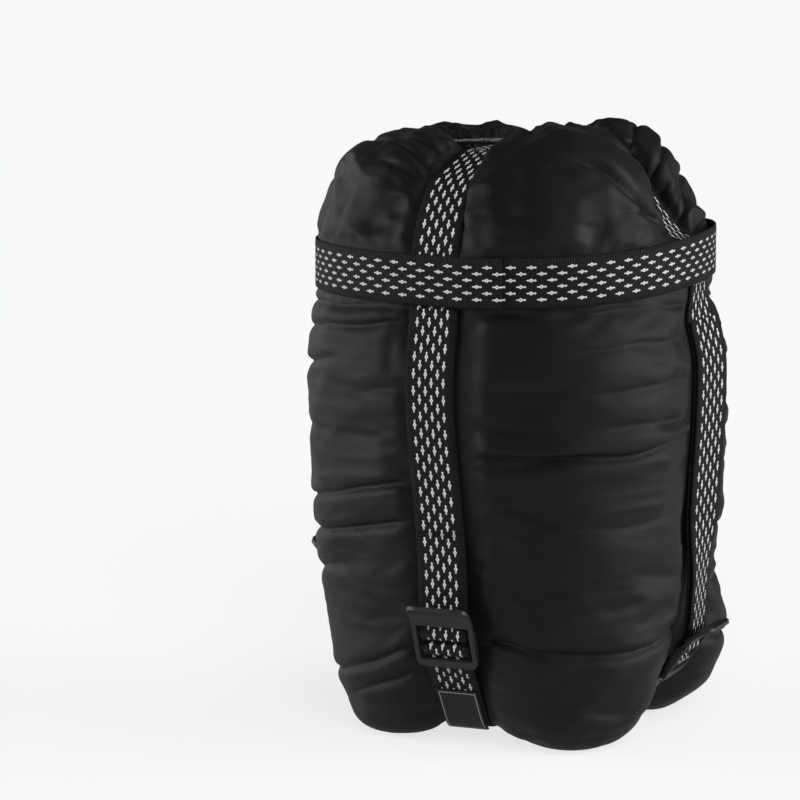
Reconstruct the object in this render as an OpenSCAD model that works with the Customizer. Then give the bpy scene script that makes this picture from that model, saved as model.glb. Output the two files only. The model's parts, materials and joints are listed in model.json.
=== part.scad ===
// Compression sack, packed and drawn down: a round fabric sack, four compression
// straps with ladder lock buckles, a webbing band and a drawcord mouth.
// The origin is at the middle of the base, on the surface that the sack stands on.

/* [Sack] */
// Widest diameter of the packed sack, between the straps
belly_d = 204; // [190:1:220]
// Height of the widest part
belly_h = 180; // [160:1:195]
// Diameter of the flat base
base_d = 116; // [104:1:128]
// Height of the puffed lobes around the mouth
crown_h = 298; // [288:1:312]
// Diameter of the circle on which the lobes are highest
crown_d = 98; // [90:1:110]
// Thickness of the fabric with its slack
fabric_t = 1.2; // [0.6:0.1:2]
// Height of the strap channels above the ground, under the base
channel_h = 10; // [8:0.5:14]
// Width of the slope on each side of a strap channel, under the base
channel_slope = 11; // [6:0.5:14]

/* [Straps] */
// Width of all webbing
webbing_w = 25; // [20:1:26]
// Thickness of all webbing
webbing_t = 1.4; // [1:0.1:1.8]
// Diameter across the strap channels at the widest part
channel_d = 196; // [186:1:202]
// Height at which the straps cross over the mouth
crossing_h = 283; // [278:0.5:288]
// Diameter of the flat crossing over the mouth
crossing_d = 80; // [72:1:90]
// Distance from the free end of each strap up to the band
tail_gap = 8.5; // [4:0.5:50]

/* [Band] */
// Height of the middle of the band
band_h = 228; // [223:1:235]
// Inside diameter of the band
band_d = 190; // [184:0.5:198]
// Length of the lap where the band's ends are sewn together
band_lap = 15; // [10:1:30]
// Angle of the lap from the front strap
band_lap_angle = 17; // [10:1:30]

/* [Buckles] */
// Height of the webbing hinge below the front and back buckles
front_hinge_h = 43; // [34:1:54]
// Height of the webbing hinge below the left buckle
left_hinge_h = 50; // [34:1:54]
// Height of the webbing hinge below the right buckle
right_hinge_h = 29; // [24:1:40]
// Extra outward lean of the right buckle
right_lean = 17; // [5:1:25]
// Width of a buckle
buckle_w = 31; // [29:0.5:34]
// Width of a buckle's side rail
rail_w = 2.4; // [2:0.1:3]
// Diameter of a buckle's two inner bars
bar_d = 3; // [2.4:0.1:3.6]
// Height of the lower inner bar along the buckle
lower_bar_y = 10.5; // [10:0.1:12]
// Distance between the two inner bars
bar_pitch = 8; // [8:0.1:10]
// Thickness of the lift tab
tab_t = 2.2; // [1.6:0.1:3]
// Radius of the lift tab's outward curve
tab_r = 24; // [18:1:36]
// Angle of the lift tab's outward curve
tab_angle = 36; // [25:1:45]

/* [Mouth] */
// Diameter of the drawn mouth, at the middle of the hem
hem_d = 44; // [42:1:48]
// Diameter of the rolled hem
hem_tube_d = 9; // [8:0.5:10]
// Height of the hem
hem_h = 270; // [266:0.5:271]
// Diameter of the drawcord
cord_d = 2.8; // [2.2:0.1:3.2]
// Diameter of the cord lock's body
lock_d = 15; // [14:0.5:16]
// Travel of the cord lock's button
button_travel = 2.5; // [1.5:0.1:3]

/* [Label] */
// Width of the woven label
label_w = 21; // [16:1:24]
// Height of the label's upper edge
label_h = 30; // [26:1:34]
// Thickness of the label
label_t = 0.6; // [0.4:0.1:1]

/* [Fits] */
// Gap between pieces that lie on each other
gap = 0.3; // [0.2:0.05:0.4]
// Gap between a piece of fabric and what fills it
fill_gap = 0.4; // [0.3:0.1:0.6]

/* [Hidden] */
$fn = 64;

belly_r = belly_d / 2;
base_r = base_d / 2;
crown_r = crown_d / 2;
band_r = band_d / 2;
// Room beside a buckle in its strap channel
channel_room = 1;
half_channel = buckle_w / 2 + channel_room;
band_low = band_h - webbing_w / 2;
band_high = band_h + webbing_w / 2;
tail_h = band_low - tail_gap;
// A flat strap under the round band: its edges touch the band first
strap_seat = sqrt(pow(band_r - gap, 2) - pow(webbing_w / 2, 2)) - webbing_t - gap;
// Room between the hem and the edge of the hood
hem_room = 0.8;
mouth_r = hem_d / 2 + hem_tube_d / 2 + hem_room;
// Thickness of the base panel above its channels
base_t = 2;
// Gap between pieces that are sewn or pressed together
sewn_gap = 0.05;
// Points of a path that lie closer to its end are left out
least_step = 2;
fill_depth = fabric_t + fill_gap;
layer = webbing_t + gap;

// Shape of the lower corner: below 1 is full, above 1 is drawn in
lobe_flare = 0.8;
channel_flare = 1.3;
// How fast a lobe swells beside its strap
lobe_swell = 0.55;

// Rings along the height of the sack, and points across each lobe
foot_rings = 9;
neck_rings = 4;
crown_rings = 6;
mouth_rings = 4;
lobe_points = 8;
ring_size = 4 * (lobe_points + 1);
wall_top = foot_rings + neck_rings + 1;
hood_top = wall_top + 2 + crown_rings + mouth_rings;
crown_top = wall_top + 2 + crown_rings;

function mix(a, b, t) = a + (b - a) * t;
function reversed(list) = [for (i = [len(list) - 1:-1:0]) list[i]];
function ease(t) = (1 - cos(180 * t)) / 2;

// Outline from the edge of the base to the edge of the mouth, as radius and height
function meridian(low, belly, flare, seat, crown, mouth) = concat(
    [for (i = [0:foot_rings]) let (a = 90 * i / foot_rings)
        [mix(low[0], belly[0], pow(sin(a), flare)), mix(low[1], belly[1], 1 - cos(a))]],
    [for (i = [1:neck_rings]) let (t = i / neck_rings)
        [mix(belly[0], seat, ease(t)), mix(belly[1], band_low, t)]],
    [[seat, band_h - gap / 2], [seat, band_h + gap / 2], [seat, band_high]],
    [for (i = [1:crown_rings]) let (a = 90 * i / crown_rings)
        [mix(crown[0], seat, cos(a)), mix(band_high, crown[1], sin(a))]],
    [for (i = [1:mouth_rings]) let (t = i / mouth_rings)
        [mix(crown[0], mouth[0], t), mix(crown[1], mouth[1], ease(t))]]
);

lobe_line = meridian([base_r + 2 * gap, 0], [belly_r, belly_h], lobe_flare,
    band_r - gap, [crown_r, crown_h], [mouth_r, hem_h]);
channel_line = meridian([base_r + 2 * gap, channel_h], [channel_d / 2, belly_h], channel_flare,
    strap_seat, [crossing_d / 2, crossing_h], [mouth_r, hem_h]);

// A path moved sideways by a distance, outwards on a path that climbs the sack
function side_of(a, b) = let (d = (b - a) / norm(b - a)) [d[1], -d[0]];
function corner_side(path, i) = let (
    before = side_of(path[max(i - 1, 0)], path[max(i, 1)]),
    after = side_of(path[min(i, len(path) - 2)], path[min(i + 1, len(path) - 1)])
) (before + after) / (1 + before * after);
function moved_path(path, distance) =
    [for (i = [0:len(path) - 1]) path[i] + distance * corner_side(path, i)];
function ribbon(path, t) =
    concat(moved_path(path, t / 2), reversed(moved_path(path, -t / 2)));
function radius_at(path, height) = lookup(height, [for (p = path) [p[1], p[0]]]);
function arc(center, r, from, to, steps) =
    [for (i = [0:steps]) let (a = mix(from, to, i / steps)) center + r * [cos(a), sin(a)]];

// One ring of points around the sack, drawn in by a depth from the outside
function ring(lobe, channel, half) = [
    for (turn = [0:3]) for (i = [0:lobe_points])
        let (
            t = i / lobe_points,
            edge = atan2(half, channel[0]),
            angle = 90 * turn + mix(edge, 90 - edge, t),
            swell = pow(sin(180 * t), lobe_swell),
            r = mix(norm([channel[0], half]), lobe[0], swell)
        )
        [r * cos(angle), r * sin(angle), mix(channel[1], lobe[1], swell)]
];
function rings(depth, first, last) = let (
    lobe = moved_path(lobe_line, -depth),
    channel = moved_path(channel_line, -depth)
) [for (k = [first:last]) ring(lobe[k], channel[k], half_channel + depth / 2)];
function flat_ring(r, height) = ring([r, height], [r, height], half_channel);

function joined(lists) = [for (list = lists) for (item = list) item];
function band_faces(low, high) = joined([
    for (i = [0:ring_size - 1]) let (n = (i + 1) % ring_size)
        [[low + i, high + i, high + n], [low + i, high + n, low + n]]
]);
function ring_faces(first, count) =
    joined([for (k = [0:count - 2]) band_faces(first + k * ring_size, first + (k + 1) * ring_size)]);

// Fabric skin between two rings of the sack
module skin(first, last) {
    count = last - first + 1;
    outer = rings(0, first, last);
    inner = rings(fabric_t, first, last);
    start = count * ring_size;
    polyhedron(
        joined(concat(outer, inner)),
        concat(
            ring_faces(0, count),
            [for (f = ring_faces(start, count)) reversed(f)],
            band_faces(start, 0),
            band_faces((count - 1) * ring_size, start + (count - 1) * ring_size)
        )
    );
}

// Closed block through a list of rings
module block(stack) {
    count = len(stack);
    last = (count - 1) * ring_size;
    bottom = count * ring_size;
    polyhedron(
        concat(joined(stack), [[0, 0, stack[0][0][2]], [0, 0, stack[count - 1][0][2]]]),
        concat(
            ring_faces(0, count),
            [for (i = [0:ring_size - 1]) [i, (i + 1) % ring_size, bottom]],
            [for (i = [0:ring_size - 1]) [last + (i + 1) % ring_size, last + i, bottom + 1]]
        )
    );
}

// An outline in radius and height becomes a slab across the strap's width
module slab(w) {
    rotate([90, 0, 0])
        linear_extrude(w, center = true) children();
}
module strip(path, w = webbing_w, t = webbing_t) {
    slab(w) polygon(ribbon(path, t));
}

// Straps: 1 front, 2 right, 3 back, 4 left
module at_strap(n) {
    rotate(90 * (n - 2)) children();
}
function on_side(n) = n % 2 == 0;
function on_right(n) = n == 2;
function on_left(n) = n == 4;

// Middle of the webbing in its channel, from the base's middle up to the crossing
channel_floor = concat([[0, channel_h]], [for (k = [0:crown_top]) channel_line[k]]);
strap_line = moved_path(channel_floor, gap + webbing_t / 2);
crossing_z = crossing_h + gap + webbing_t / 2;
under_z = channel_h - gap - webbing_t / 2;

// Buckle: its own frame has the webbing hinge at the origin, +X out of the sack and
// +Y up along the webbing
hinge_slit = 0.35;
hinge_lift = 4.8;
bar_r = bar_d / 2;
wrap_r = bar_r + gap + webbing_t / 2;
bar_x = 0.6;
upper_bar_y = lower_bar_y + bar_pitch;
back_x = bar_x - wrap_r;
tail_x = back_x + layer;
rail_back = -1;
foot_bar_t = 2.4;
foot_bar_low = 1.5;
foot_bar_high = 5.5;
foot_bar_back = webbing_t / 2 + gap;
foot_bar_front = foot_bar_back + foot_bar_t;
// The lift tab starts above the upper bar, clear of the strap that leaves under it
tab_rise = 6;
tab_clear = 0.7;
tab_y = upper_bar_y + tab_rise;
tab_x = tail_x + webbing_t / 2 + tab_clear + tab_t / 2;
// How far the side rails run on beside the tab
rail_rise = 5;
// Where the strap and its free end leave the buckle, above the upper bar
leg_rise = 7.5;
exit_rise = 9.5;
leg_y = upper_bar_y + leg_rise;
exit_y = upper_bar_y + exit_rise;
// Room between two lengths of one strap, where it may bend
end_gap = gap + webbing_t / 2;
// Angle through which a strap wraps on past the front of its bar
wrap_end = 40;
wrap_steps = 14;
// Stretch of the channel that a buckle lies along, above its hinge
lie_low = 10;
lie_high = 26;

function hinge_h(n) = on_right(n) ? right_hinge_h : on_left(n) ? left_hinge_h : front_hinge_h;
function hinge(n) = [radius_at(strap_line, hinge_h(n)) + hinge_lift, hinge_h(n)];
function channel_lean(low, high) =
    atan2(radius_at(strap_line, high) - radius_at(strap_line, low), high - low);
function lean(n) =
    channel_lean(hinge_h(n) + lie_low, hinge_h(n) + lie_high) + (on_right(n) ? right_lean : 0);
function from_buckle(n, p) = let (a = lean(n))
    hinge(n) + [p[0] * cos(a) + p[1] * sin(a), p[1] * cos(a) - p[0] * sin(a)];

module at_buckle(n) {
    translate(hinge(n))
        rotate(-lean(n)) children();
}

// A strap drawn tight from a point touches the sack first where it stands out most
function first_touch(start, points) = let (
    slope = [for (p = points) (p[0] - start[0]) / abs(p[1] - start[1])]
) search(max(slope), slope)[0];
function tight_path(start, line) = let (
    ahead = [for (p = line) if (p[1] > start[1] + 2 * least_step && p[1] < band_h - gap) p],
    first = first_touch(start, ahead)
) concat([start], [for (i = [first:len(ahead) - 1]) ahead[i]]);
function lower_path(n) = concat(
    tight_path(from_buckle(n, [back_x, leg_y + end_gap]), strap_line),
    [[radius_at(strap_line, band_h - gap / 2), band_h - gap / 2]]
);
function tail_path(n) = let (
    over = moved_path(lower_path(n), layer),
    start = from_buckle(n, [tail_x, exit_y + end_gap])
) concat(
    [start],
    [for (p = over) if (p[1] > start[1] + least_step && p[1] < tail_h - least_step) p],
    [[radius_at(over, tail_h), tail_h]]
);

// Half of a base strap, from the middle of the base to the hinge of its buckle
function base_half(n, drop) = let (
    end = hinge(n),
    below = [for (p = strap_line) if (p[0] > crossing_d / 2 && p[1] < end[1] - least_step / 2) p],
    last = first_touch(end, below),
    away = (end - below[last]) / norm(end - below[last])
) concat(
    [[0, under_z - drop], [half_channel, under_z - drop], [crossing_d / 2, under_z]],
    [for (i = [0:last]) below[i]],
    [end - hinge_slit * away]
);
function both_ways(half, other) =
    concat([for (i = [len(other) - 1:-1:1]) [-other[i][0], other[i][1]]], half);

// Sack
module base_panel() {
    color([0.05, 0.05, 0.055])
    difference() {
        rotate_extrude()
            square([base_r - gap, channel_h + base_t]);
        for (turn = [0, 90])
            rotate([90, 0, turn])
                linear_extrude(2 * base_d, center = true)
                    polygon([
                        [-half_channel, channel_h],
                        [half_channel, channel_h],
                        [half_channel + channel_slope, 0],
                        [half_channel + channel_slope, -gap],
                        [-half_channel - channel_slope, -gap],
                        [-half_channel - channel_slope, 0]
                    ]);
    }
}
module side_wall() {
    color([0.06, 0.06, 0.065]) skin(0, wall_top);
}
module hood() {
    color([0.06, 0.06, 0.065]) skin(wall_top + 1, hood_top);
}
module lower_filling() {
    color([0.45, 0.45, 0.42])
    block(concat(
        [flat_ring(base_r + gap, channel_h + base_t + fill_gap)],
        rings(fill_depth, 1, wall_top)
    ));
}
module upper_filling() {
    color([0.45, 0.45, 0.42])
    block(concat(
        rings(fill_depth, wall_top + 1, hood_top),
        [flat_ring(mouth_r, lock_low - fill_gap)]
    ));
}

// Band and straps
module band() {
    color([0.08, 0.08, 0.08]) {
        translate([0, 0, band_low])
            rotate_extrude() translate([band_r, 0]) square([webbing_t, webbing_w]);
        rotate(band_lap_angle - 90)
            translate([0, 0, band_low])
                rotate_extrude(angle = -band_lap / band_r * 180 / PI)
                    translate([band_r + webbing_t / 2, 0]) square([1.5 * webbing_t, webbing_w]);
    }
}
module base_strap(n) {
    drop = on_side(n) ? layer : 0;
    color([0.1, 0.1, 0.1]) at_strap(n) strip(both_ways(base_half(n, drop), base_half(n + 2, drop)));
}
module cross_strap(n) {
    rise = on_side(n) ? layer : 0;
    half = [
        [0, crossing_z + rise],
        [half_channel, crossing_z + rise],
        [crossing_d / 2 - gap, crossing_z]
    ];
    color([0.1, 0.1, 0.1]) at_strap(n) strip(both_ways(half, half));
}
module strap_lower(n) {
    color([0.1, 0.1, 0.1]) at_strap(n) strip(lower_path(n));
}
module strap_upper(n) {
    color([0.1, 0.1, 0.1])
    at_strap(n) strip([for (k = [wall_top + 2:crown_top + 1]) strap_line[k]]);
}
module tail(n) {
    color([0.12, 0.12, 0.12]) at_strap(n) strip(tail_path(n));
}
module woven_label() {
    face = moved_path(base_half(1, 0), webbing_t / 2 + label_t / 2 + sewn_gap);
    color([0.03, 0.03, 0.03])
    at_strap(1)
        strip(concat(
            [for (p = face) if (p[0] > base_r && p[1] < label_h - least_step / 2) p],
            [[radius_at(face, label_h), label_h]]
        ), label_w, label_t);
}

// Buckles
module buckle(n) {
    inner_w = buckle_w - 2 * rail_w;
    tab = arc([tab_x + tab_r, tab_y], tab_r, 180, 180 - tab_angle, 10);
    color([0.07, 0.07, 0.07])
    at_strap(n) {
        difference() {
            slab(buckle_w) at_buckle(n) polygon([
                [rail_back, foot_bar_low],
                [foot_bar_front, foot_bar_low],
                [foot_bar_front, tab_y],
                [tab_x + tab_t / 2, tab_y + rail_rise],
                [tab_x - tab_t / 2, tab_y + 1.2 * rail_rise],
                [rail_back, tab_y + 0.4 * rail_rise]
            ]);
            slab(inner_w) at_buckle(n)
                translate([-buckle_w / 2, 0]) square([buckle_w, 2 * tab_y]);
        }
        slab(buckle_w) at_buckle(n) {
            polygon(ribbon(tab, tab_t));
            translate([foot_bar_back, foot_bar_low])
                square([foot_bar_t, foot_bar_high - foot_bar_low]);
            translate([bar_x, lower_bar_y]) circle(bar_r);
            translate([bar_x, upper_bar_y]) circle(bar_r);
        }
    }
}
module anchor_loop(n) {
    loop = concat(
        [[0, hinge_slit], [0, foot_bar_high + webbing_t / 2]],
        arc([bar_x, lower_bar_y], wrap_r, -30, 180, wrap_steps),
        [[back_x, (foot_bar_low + foot_bar_high) / 2]]
    );
    color([0.1, 0.1, 0.1])
    at_strap(n) slab(webbing_w) at_buckle(n) polygon(ribbon(loop, webbing_t));
}
module strap_bend(n) {
    slant = (wrap_r * cos(wrap_end) + bar_x - tail_x) / sin(wrap_end);
    bend = concat(
        [[back_x, leg_y]],
        arc([bar_x, upper_bar_y], wrap_r, -180, wrap_end, wrap_steps),
        [[tail_x, upper_bar_y + wrap_r * sin(wrap_end) + slant * cos(wrap_end)], [tail_x, exit_y]]
    );
    color([0.1, 0.1, 0.1])
    at_strap(n) slab(webbing_w) at_buckle(n) polygon(ribbon(bend, webbing_t));
}

// Mouth: the cord lock stands in the drawn mouth, under the crossing straps
cord_r = cord_d / 2;
cord_side = cord_r + gap;
lock_turn = 135;
lock_x = 9;
lock_wall = 2.2;
slot_w = 2 * (cord_side + cord_r + gap);
slot_low = hem_h - cord_r - gap;
button_r = lock_d / 2 - lock_wall - gap;
// Walls of the cord lock above and below the cord, and its floor
button_wall = 1.2;
roof_wall = 1.4;
floor_wall = 1.5;
// Height of the spring when the button is pressed in
spring_least = 1.5;
spring_t = 0.8;
spring_h = button_travel + spring_least;
button_low = slot_low - button_wall;
lock_floor = button_low - spring_h;
lock_low = lock_floor - floor_wall;
lock_high = hem_h + cord_r + roof_wall;
head_low = lock_high + button_travel + gap;
head_h = 3.6;
head_lip = 1.2;
knot_r = 3;

module at_lock() {
    rotate(lock_turn) translate([lock_x, 0]) children();
}
module cord_slot(low, high) {
    translate([-lock_d, -slot_w / 2, low]) cube([2 * lock_d, slot_w, high - low]);
}
module mouth_hem() {
    color([0.05, 0.05, 0.055])
    difference() {
        translate([0, 0, hem_h])
            rotate_extrude()
                translate([hem_d / 2, 0])
                    difference() {
                        circle(hem_tube_d / 2);
                        circle(cord_r + gap);
                    }
        rotate(lock_turn)
            translate([hem_d / 2 - lock_d, 0])
                cord_slot(slot_low, hem_h + cord_r + gap);
    }
}
module drawcord() {
    color([0.03, 0.03, 0.03])
    translate([0, 0, hem_h]) {
        rotate_extrude() translate([hem_d / 2, 0]) circle(cord_r);
        rotate(lock_turn) {
            for (side = [-1, 1])
                translate([-knot_r, side * cord_side, 0])
                    rotate([0, 90, 0])
                        cylinder(r = cord_r, h = hem_d / 2 + knot_r);
            translate([lock_x - lock_d / 2 - knot_r - gap, 0, 0]) sphere(knot_r);
        }
    }
}
module cord_lock_body() {
    color([0.06, 0.06, 0.06])
    at_lock()
        difference() {
            translate([0, 0, lock_low]) cylinder(d = lock_d, h = lock_high - lock_low);
            translate([0, 0, lock_floor])
                cylinder(r = button_r + gap, h = lock_high);
            cord_slot(slot_low, hem_h + cord_r + gap);
        }
}
module cord_lock_button() {
    color([0.09, 0.09, 0.09])
    at_lock() {
        difference() {
            translate([0, 0, button_low]) cylinder(r = button_r, h = head_low - button_low);
            cord_slot(slot_low, hem_h + cord_r + gap + button_travel);
        }
        translate([0, 0, head_low]) cylinder(r = button_r + head_lip, h = head_h);
    }
}
module cord_lock_spring() {
    color("silver")
    at_lock()
        translate([0, 0, lock_floor + sewn_gap])
            difference() {
                cylinder(r = button_r - gap, h = spring_h - 2 * sewn_gap);
                translate([0, 0, -gap]) cylinder(r = button_r - gap - spring_t, h = spring_h + 2 * gap);
            }
}

base_panel();
side_wall();
hood();
lower_filling();
upper_filling();
band();
base_strap(1);  // base_strap_a
base_strap(2);  // base_strap_b
cross_strap(1);  // cross_strap_a
cross_strap(2);  // cross_strap_b
woven_label();
for (n = [1:4]) {
    strap_lower(n);
    strap_upper(n);
    tail(n);
    buckle(n);
    anchor_loop(n);
    strap_bend(n);
}
mouth_hem();
drawcord();
cord_lock_body();
cord_lock_button();
cord_lock_spring();
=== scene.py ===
import json
import math

import bmesh
import bpy
from mathutils import Matrix, Vector, noise


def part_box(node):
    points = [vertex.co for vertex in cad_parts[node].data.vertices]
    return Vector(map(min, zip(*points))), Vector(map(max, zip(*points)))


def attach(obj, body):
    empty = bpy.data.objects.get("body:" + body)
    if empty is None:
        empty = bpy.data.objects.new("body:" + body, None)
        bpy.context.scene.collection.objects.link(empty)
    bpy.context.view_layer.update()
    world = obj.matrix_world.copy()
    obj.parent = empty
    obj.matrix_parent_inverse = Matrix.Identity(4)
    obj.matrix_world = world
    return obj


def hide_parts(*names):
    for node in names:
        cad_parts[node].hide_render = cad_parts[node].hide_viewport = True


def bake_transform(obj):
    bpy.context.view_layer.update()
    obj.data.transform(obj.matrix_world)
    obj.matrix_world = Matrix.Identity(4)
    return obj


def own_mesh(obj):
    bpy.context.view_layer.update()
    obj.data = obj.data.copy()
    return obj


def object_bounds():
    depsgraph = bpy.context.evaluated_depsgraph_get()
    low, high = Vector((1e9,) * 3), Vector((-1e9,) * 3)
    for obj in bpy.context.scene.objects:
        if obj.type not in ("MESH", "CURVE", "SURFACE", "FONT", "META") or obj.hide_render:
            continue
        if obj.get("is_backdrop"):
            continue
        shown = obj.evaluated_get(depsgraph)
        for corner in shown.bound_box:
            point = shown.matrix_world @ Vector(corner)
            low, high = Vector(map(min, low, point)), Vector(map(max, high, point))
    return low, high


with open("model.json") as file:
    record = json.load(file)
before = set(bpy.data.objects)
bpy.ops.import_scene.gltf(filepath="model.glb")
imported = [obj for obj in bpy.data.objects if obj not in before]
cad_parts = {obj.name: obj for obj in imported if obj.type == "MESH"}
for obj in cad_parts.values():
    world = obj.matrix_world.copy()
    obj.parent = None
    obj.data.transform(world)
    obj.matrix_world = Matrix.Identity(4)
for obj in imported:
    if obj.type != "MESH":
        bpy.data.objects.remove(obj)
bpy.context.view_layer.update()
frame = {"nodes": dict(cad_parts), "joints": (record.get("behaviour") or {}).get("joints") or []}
scene = bpy.context.scene


# Camera: a little above the middle of the sack and to the right of its front strap, far
# away behind a long lens. The sack stands right of the middle of the picture.
camera_turn = math.radians(22.5)
camera_rise = math.radians(8.5)
camera_distance = 1.80
picture_width_there = 0.392
sack_right_of_middle = 0.0564
aim_height = 0.159

view_back = Vector((
    math.sin(camera_turn) * math.cos(camera_rise),
    -math.cos(camera_turn) * math.cos(camera_rise),
    math.sin(camera_rise),
))
view_right = Vector((math.cos(camera_turn), math.sin(camera_turn), 0.0))
lens = bpy.data.cameras.new("camera")
lens.sensor_width = 36.0
lens.lens = lens.sensor_width * camera_distance / picture_width_there
camera = bpy.data.objects.new("camera", lens)
scene.collection.objects.link(camera)
aim = Vector((0.0, 0.0, aim_height)) - view_right * sack_right_of_middle
camera.location = aim + view_back * camera_distance
camera.rotation_euler = (-view_back).to_track_quat("-Z", "Y").to_euler()
scene.camera = camera
scene.view_settings.view_transform = "Standard"


# Studio: a wide pale floor under an even surround, with a broad soft lamp low on each side and
# weaker ones overhead and behind, so that the side facing the camera stays deep black. A fill
# lamp in front, cross-polarised so that it leaves no shine, keeps white marks white.
floor_size, floor_drop = 60.0, 0.0004
floor_color = (0.36, 0.3636, 0.370, 1.0)
floor_glow = 0.78
floor_mirrored = 0.35
surround_color = (0.943, 0.952, 0.969, 1.0)
surround_strength = 0.04
surround_seen = 0.995


def add_piece(name, mesh):
    """Put a finished bmesh into the scene as an object."""
    data = bpy.data.meshes.new(name)
    mesh.to_mesh(data)
    mesh.free()
    piece = bpy.data.objects.new(name, data)
    scene.collection.objects.link(piece)
    return piece


def node_kit(tree):
    """Short ways to add a node to a shader tree, to join two sockets and to do a sum."""
    def add(kind, sockets=None, **settings):
        node = tree.nodes.new(kind)
        for key, value in settings.items():
            setattr(node, key, value)
        for key, value in (sockets or {}).items():
            node.inputs[key].default_value = value
        return node

    def sums(operation, *values):
        node = add("ShaderNodeMath", operation=operation)
        for slot, value in enumerate(values):
            if isinstance(value, (int, float)):
                node.inputs[slot].default_value = value
            else:
                tree.links.new(value, node.inputs[slot])
        return node.outputs[0]

    return add, tree.links.new, sums


class Finish:
    """A new material: its shader, with what is the same all over, and short ways to wire it."""

    def __init__(self, name, sockets):
        self.material = bpy.data.materials.new(name)
        self.material.use_nodes = True
        tree = self.material.node_tree
        self.shader = tree.nodes["Principled BSDF"]
        for key, value in sockets.items():
            self.shader.inputs[key].default_value = value
        self.add, self.join, self.sums = node_kit(tree)

    def texture(self, kind, sockets, **settings):
        """A pattern on the piece's own coordinates, in metres."""
        pattern = self.add(kind, sockets, **settings)
        place = self.add("ShaderNodeTexCoord")
        self.join(place.outputs["Object"], pattern.inputs["Vector"])
        return pattern.outputs[0]

    def cloth(self):
        """The place on the laid-out cloth, in metres."""
        return self.add("ShaderNodeUVMap").outputs["UV"]

    def tint(self, mask, dark, light):
        """Colour the surface from dark to light by a mask."""
        mixed = self.add("ShaderNodeMix", {6: (*dark, 1.0), 7: (*light, 1.0)}, data_type="RGBA")
        self.join(mask, mixed.inputs[0])
        self.join(mixed.outputs[2], self.shader.inputs["Base Color"])

    def satin(self, value, low, high):
        """Spread the roughness from low to high by a value."""
        spread = self.add("ShaderNodeMapRange", {"To Min": low, "To Max": high})
        self.join(value, spread.inputs["Value"])
        self.join(spread.outputs[0], self.shader.inputs["Roughness"])

    def emboss(self, height, strength, distance):
        """Raise fine threads or grain by a height."""
        bump = self.add("ShaderNodeBump", {"Strength": strength, "Distance": distance})
        self.join(height, bump.inputs["Height"])
        self.join(bump.outputs[0], self.shader.inputs["Normal"])


floor_mesh = bmesh.new()
bmesh.ops.create_grid(floor_mesh, x_segments=1, y_segments=1, size=floor_size / 2)
floor = add_piece("floor", floor_mesh)
floor.location.z = -floor_drop
floor_paint = Finish("pale_floor", {
    "Base Color": floor_color, "Roughness": 0.9, "Specular IOR Level": 0.0,
    "Emission Color": surround_color})
rays = floor_paint.add("ShaderNodeLightPath").outputs
mirrored = floor_paint.sums("MULTIPLY", rays["Is Glossy Ray"], floor_mirrored)
seen = floor_paint.sums("MAXIMUM", rays["Is Camera Ray"], mirrored)
glow = floor_paint.sums("MULTIPLY", seen, floor_glow)
floor_paint.join(glow, floor_paint.shader.inputs["Emission Strength"])
floor.data.materials.append(floor_paint.material)
floor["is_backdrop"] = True

world = bpy.data.worlds.new("surround")
scene.world = world
world.use_nodes = True
surround = world.node_tree.nodes["Background"]
surround.inputs["Color"].default_value = surround_color
add, join, sums = node_kit(world.node_tree)
rays = add("ShaderNodeLightPath").outputs
level = sums("MULTIPLY_ADD", rays["Is Camera Ray"],
             surround_seen - surround_strength, surround_strength)
join(level, surround.inputs["Strength"])


def soft_lamp(name, turn, rise, spread, strength, shine=True):
    """A broad even lamp; its turn is measured from the camera's side, to the right."""
    data = bpy.data.lights.new(name, "SUN")
    data.angle = math.radians(spread)
    data.energy = strength
    lamp = bpy.data.objects.new(name, data)
    heading = camera_turn + math.radians(turn)
    rise = math.radians(rise)
    toward = Vector((math.sin(heading) * math.cos(rise),
                     -math.cos(heading) * math.cos(rise), math.sin(rise)))
    lamp.rotation_euler = (-toward).to_track_quat("-Z", "Y").to_euler()
    lamp.visible_glossy = shine
    scene.collection.objects.link(lamp)


soft_lamp("left_lamp", turn=-86, rise=2, spread=56, strength=2.55)
soft_lamp("right_lamp", turn=80, rise=3, spread=54, strength=3.0)
soft_lamp("rim_lamp", turn=-138, rise=0, spread=40, strength=0.5)
soft_lamp("top_lamp", turn=80, rise=60, spread=60, strength=0.3)
soft_lamp("fill_lamp", turn=8, rise=30, spread=40, strength=1.3, shine=False)


# Side wall: one tube of black nylon taffeta from the base seam up to the band. The straps
# press flat channels into it, the load swells it into four lobes, and drawing the straps
# down has pushed its spare height into creases that run round the sack.
band_lo, band_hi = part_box("band")
hem_lo, hem_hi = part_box("mouth_hem")
skin_gap = 0.0003
webbing_t = 0.0014
band_low, band_high = band_lo.z, band_hi.z
band_mid = (band_low + band_high) / 2
webbing_w = band_high - band_low
band_r = band_hi.x - webbing_t
base_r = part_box("base_panel")[1].x + 3 * skin_gap
belly_r, belly_h = 0.102, 0.180
channel_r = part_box("side_wall")[1].x
channel_h = 0.010
channel_half = 0.0150
band_bulge = 0.0022
crown_r, crown_h = 0.049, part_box("hood")[1].z - 0.002
crossing_r, crossing_h = 0.040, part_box("cross_strap_a")[0].z - skin_gap
mouth_r, mouth_h = 0.0273, (hem_lo.z + hem_hi.z) / 2
strap_seat = math.sqrt((band_r - skin_gap) ** 2 - (webbing_w / 2) ** 2) - webbing_t - skin_gap
front_right, back_right, back_left, front_left = range(4)

lobe_line = dict(low=(base_r, 0.0), belly=belly_r, flare=0.80,
                 seat=band_r - skin_gap + band_bulge, crown=(crown_r, crown_h))
channel_line = dict(low=(base_r, channel_h), belly=channel_r, flare=1.3,
                    seat=strap_seat, crown=(crossing_r, crossing_h))
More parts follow.
